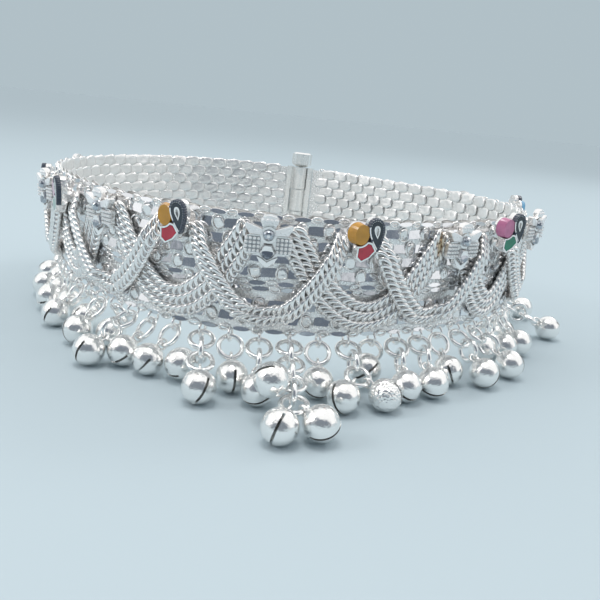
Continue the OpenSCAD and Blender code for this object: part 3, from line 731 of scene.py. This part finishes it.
def enamel(name, colour):
    """Glass that is darker and lighter in clouds, under a clear glaze with a faint ripple."""
    material = bpy.data.materials.new(name)
    material.use_nodes = True
    tree = material.node_tree
    skin = tree.nodes["Principled BSDF"]
    skin.inputs["Roughness"].default_value = GLASS_ROUGH
    skin.inputs["Coat Weight"].default_value = GLAZE
    skin.inputs["Coat Roughness"].default_value = GLAZE_ROUGH
    where = tree.nodes.new("ShaderNodeTexCoord")
    cloud = tree.nodes.new("ShaderNodeTexNoise")
    cloud.inputs["Scale"].default_value = CLOUD_SCALE
    cloud.inputs["Detail"].default_value = 4
    tree.links.new(where.outputs["Object"], cloud.inputs["Vector"])
    depth = tree.nodes.new("ShaderNodeMix")
    depth.data_type = "RGBA"
    depth.inputs[6].default_value = (*(c * 0.7 for c in colour), 1)
    depth.inputs[7].default_value = (*(min(1, c * 1.2 + 0.01) for c in colour), 1)
    tree.links.new(cloud.outputs["Fac"], depth.inputs[0])
    tree.links.new(depth.outputs[2], skin.inputs["Base Color"])
    ripple = tree.nodes.new("ShaderNodeBump")
    ripple.inputs["Strength"].default_value = RIPPLE
    ripple.inputs["Distance"].default_value = RIPPLE_DEPTH
    tree.links.new(cloud.outputs["Fac"], ripple.inputs["Height"])
    tree.links.new(ripple.outputs[0], skin.inputs["Normal"])
    return material


for name, colour in ENAMELS.items():
    nodes[name].data.materials.clear()
    nodes[name].data.materials.append(enamel(name + "_glass", colour))


# The fluted edge of the dark drop in each enamelled motif, enamelled with it.
# It is a row of short rods round the drop's wall, left out where the oval and the shield stand.
DROP_AT, DROP_TURN = Vector((1.2, 1.15)), math.radians(10)
DROP_FULL, DROP_SHARP = 0.65, 1.2
OVAL_AT, OVAL_HALF, OVAL_CLEAR = Vector((-1.2, 1.15)), (1.4, 1.5), 1.22
SHIELD_AT, SHIELD_CLEAR = Vector((-0.1, -1.1)), 1.62
RIM_WIDE, RIM_TALL, RIM_POINTS = 2.08, 4.22, 240
RIM_STEP, RIM_R, RIM_LOW, RIM_HIGH = 0.3, 0.22, 0.9, 1.66


def drop_point(a, wide, tall):
    """A point on the outline of a drop with its tip down, turned as it sits in the motif."""
    x = DROP_FULL * wide * math.sin(a) * abs(math.sin(a / 2)) ** DROP_SHARP
    flat = Vector((x, -tall / 2 * math.cos(a)))
    flat.rotate(Matrix.Rotation(DROP_TURN, 2))
    return DROP_AT + flat


rim_dark = enamel("enamel_rim_glass", (0.045, 0.06, 0.09))
rim_verts, rim_faces = [], []
for k in ENAMEL_PLACES:
    place = motif_place(k, ENAMEL_H)
    walk = [drop_point(2 * math.pi * i / RIM_POINTS, RIM_WIDE, RIM_TALL) for i in range(RIM_POINTS + 1)]
    covered = 0.0
    for here, there in zip(walk, walk[1:]):
        covered += (there - here).length
        if covered < RIM_STEP:
            continue
        covered = 0.0
        from_oval = Vector(((there.x - OVAL_AT.x) / OVAL_HALF[0], (there.y - OVAL_AT.y) / OVAL_HALF[1]))
        if from_oval.length >= OVAL_CLEAR and (there - SHIELD_AT).length > SHIELD_CLEAR:
            rod(rim_verts, rim_faces, place, there, RIM_R, RIM_LOW, RIM_HIGH)
rims = mesh_object("enamel_drop_rims", rim_verts, rim_faces)
smooth(rims)
rims.data.materials.append(rim_dark)
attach(rims, "anklet")


# Clasp: silver end plates with three knuckles in line, closed by a screw pin with a ribbed head.
# The forms are those of the solids, and the silver is a little duller than the links.
# The clasp's silver darkens in its recesses: painted shade.
clasp_silver = silver("silver_clasp", (0.95, 0.95, 0.93), 0.22, grain=700, bump=0.12, painted_shade=0.1,
                      metal=0.8, wave=(300.0, 0.2))
for name in ("clasp_left", "clasp_right", "clasp_screw"):
    nodes[name].data.materials.clear()
    nodes[name].data.materials.append(clasp_silver)


# Fringe: jump rings of bright silver wire, and small round bells pressed from thin sheet with a slot below.
# They hang from the hem's loops and lie on the surface.
# One bell near the front is frosted, the others are polished.
FROSTED_AT, FROSTED_REACH = (0.01371, -0.04012, 0.0023), 0.0025
GRIT_SCALE, GRIT_DEPTH = 3000.0, 0.00012


def frost(material):
    """Pits all over the one frosted bell; the rest of the material stays polished."""
    tree = material.node_tree
    add, link = tree.nodes.new, tree.links.new
    skin = tree.nodes["Principled BSDF"]
    where = add("ShaderNodeTexCoord")
    away = add("ShaderNodeVectorMath")
    away.operation = "DISTANCE"
    away.inputs[1].default_value = FROSTED_AT
    link(where.outputs["Object"], away.inputs[0])
    frosted = add("ShaderNodeMath")
    frosted.operation = "LESS_THAN"
    frosted.inputs[1].default_value = FROSTED_REACH
    link(away.outputs["Value"], frosted.inputs[0])
    grit = add("ShaderNodeTexVoronoi")
    grit.inputs["Scale"].default_value = GRIT_SCALE
    link(where.outputs["Object"], grit.inputs["Vector"])
    pits = add("ShaderNodeBump")
    pits.inputs["Distance"].default_value = GRIT_DEPTH
    link(frosted.outputs[0], pits.inputs["Strength"])
    link(grit.outputs["Distance"], pits.inputs["Height"])
    link(skin.inputs["Normal"].links[0].from_socket, pits.inputs["Normal"])
    link(pits.outputs[0], skin.inputs["Normal"])


# The jump rings and bells darken in their recesses and slots: painted shade.
ring_silver = silver("silver_jump_rings", (0.96, 0.96, 0.95), 0.13, grain=1500, bump=0.1, painted_shade=0.12,
                     metal=0.88)
bell_silver = silver("silver_bells", (0.99, 0.98, 0.96), 0.12, spread=0.06, grain=3000, bump=0.4,
                     painted_shade=0.1, metal=0.88, wave=(650.0, 0.25))
front_silver = bell_silver.copy()
front_silver.name = "silver_front_bells"
frost(front_silver)
for name, material in (("jump_rings", ring_silver), ("front_bells", front_silver),
                       ("back_bells", bell_silver)):
    nodes[name].data.materials.clear()
    nodes[name].data.materials.append(material)


# Floor: a plain pale blue-grey surface that the anklet lies on.
# It is matt, so its far end runs into the pale horizon without a line.
FLOOR_HALF = 9.0
FLOOR_COLOUR = (0.53, 0.62, 0.66, 1)
floor_corners = [(x * FLOOR_HALF, y * FLOOR_HALF, 0) for x, y in ((-1, -1), (1, -1), (1, 1), (-1, 1))]
floor = mesh_object("floor", floor_corners, [(0, 1, 2, 3)])
floor_paint = bpy.data.materials.new("floor_paint")
floor_paint.use_nodes = True
floor_skin = floor_paint.node_tree.nodes["Principled BSDF"]
floor_skin.inputs["Base Color"].default_value = FLOOR_COLOUR
floor_skin.inputs["Roughness"].default_value = 1.0
floor_skin.inputs["Specular IOR Level"].default_value = 0.0
floor.data.materials.append(floor_paint)


# Studio: a bright even room with three soft boxes, above, to the left and behind.
# A ragged dim patch of room in front of the object gives the silver its dark reflections,
# and low down the room is as pale as the far floor.
ROOM_BRIGHT = (1.0, 1.01, 1.02, 1)
ROOM_DIM = (0.15, 0.18, 0.22, 1)
HORIZON = (0.442, 0.528, 0.572, 1)
# Each fade as where it starts and where it is full, on the axes of the direction or in the noise
FRONT_Y, FRONT_Z = (-0.35, -0.62), (0.88, 0.72)
CLUTTER_CUT, CLUTTER_SCALE, CLUTTER_SEED = (0.72, 0.62), 4.0, 2.3
BACK_Y, BACK_Z, HAZE_Z = (0.1, 0.5), (0.45, 0.2), (0.15, 0.08)
world = bpy.data.worlds.new("studio")
bpy.context.scene.world = world
bpy.context.scene.view_settings.view_transform = "Standard"
world.use_nodes = True
sky = world.node_tree
add, link = sky.nodes.new, sky.links.new


def fade(value, start, end, kind="SMOOTHSTEP"):
    """Goes from nothing to full while the value goes from start to end."""
    span = add("ShaderNodeMapRange")
    span.inputs["From Min"].default_value, span.inputs["From Max"].default_value = start, end
    span.interpolation_type = kind
    link(value, span.inputs["Value"])
    return span.outputs[0]


def both(operation, one, other):
    """Two shares brought together by one operation."""
    result = add("ShaderNodeMath")
    result.operation = operation
    link(one, result.inputs[0])
    link(other, result.inputs[1])
    return result.outputs[0]


way = add("ShaderNodeTexCoord")
axes = add("ShaderNodeSeparateXYZ")
link(way.outputs["Generated"], axes.inputs[0])
in_front = both("MULTIPLY", fade(axes.outputs["Y"], *FRONT_Y), fade(axes.outputs["Z"], *FRONT_Z))
clutter = add("ShaderNodeTexNoise")
clutter.noise_dimensions = "4D"
clutter.inputs["W"].default_value = CLUTTER_SEED
clutter.inputs["Scale"].default_value = CLUTTER_SCALE
clutter.inputs["Detail"].default_value = 3.0
link(way.outputs["Generated"], clutter.inputs["Vector"])
room = add("ShaderNodeMix")
room.data_type = "RGBA"
room.inputs[6].default_value = ROOM_BRIGHT
room.inputs[7].default_value = ROOM_DIM
patches = fade(clutter.outputs["Fac"], *CLUTTER_CUT, "LINEAR")
link(both("MULTIPLY", in_front, patches), room.inputs[0])
behind = both("MULTIPLY", fade(axes.outputs["Z"], *BACK_Z), fade(axes.outputs["Y"], *BACK_Y))
all_round = fade(axes.outputs["Z"], *HAZE_Z)
horizon = add("ShaderNodeMix")
horizon.data_type = "RGBA"
horizon.inputs[7].default_value = HORIZON
link(both("MAXIMUM", behind, all_round), horizon.inputs[0])
link(room.outputs[2], horizon.inputs[6])
link(horizon.outputs[2], sky.nodes["Background"].inputs["Color"])
sky.nodes["Background"].inputs["Strength"].default_value = 1.0


def softbox(name, place, aim, size, power):
    """A flat lamp, sized in metres and aimed at a point."""
    lamp = bpy.data.lights.new(name, "AREA")
    lamp.shape, lamp.size, lamp.size_y, lamp.energy = "RECTANGLE", size[0], size[1], power
    box = bpy.data.objects.new(name, lamp)
    box.location = place
    box.rotation_euler = (Vector(aim) - Vector(place)).to_track_quat("-Z", "Y").to_euler()
    bpy.context.scene.collection.objects.link(box)


softbox("softbox_above", place=(-0.05, -0.05, 0.55), aim=(0, 0, 0), size=(0.22, 0.15), power=0.7)
softbox("softbox_left", place=(-0.5, -0.2, 0.35), aim=(0, 0, 0.01), size=(0.16, 0.16), power=0.5)
softbox("softbox_behind", place=(0.35, 0.35, 0.4), aim=(0, 0, 0.01), size=(0.16, 0.16), power=0.4)


# Camera: low in front of the anklet, looking down on it a little, as the photograph was taken.
# It is turned a little about its own axis, because the photograph is tilted.
CAMERA_AT = (0.00104, -0.1214, 0.0373)
CAMERA_DOWN, CAMERA_ROLL = 15.81, 5.75
LENS_LENGTH, FILM_WIDTH = 39.3, 36.0
lens = bpy.data.cameras.new("camera")
lens.lens, lens.sensor_width = LENS_LENGTH, FILM_WIDTH
lens.clip_start, lens.clip_end = 0.005, 20
camera = bpy.data.objects.new("camera", lens)
bpy.context.scene.collection.objects.link(camera)
camera.matrix_world = (Matrix.Translation(CAMERA_AT)
                       @ Matrix.Rotation(math.radians(90 - CAMERA_DOWN), 4, "X")
                       @ Matrix.Rotation(math.radians(CAMERA_ROLL), 4, "Z"))
bpy.context.scene.camera = camera
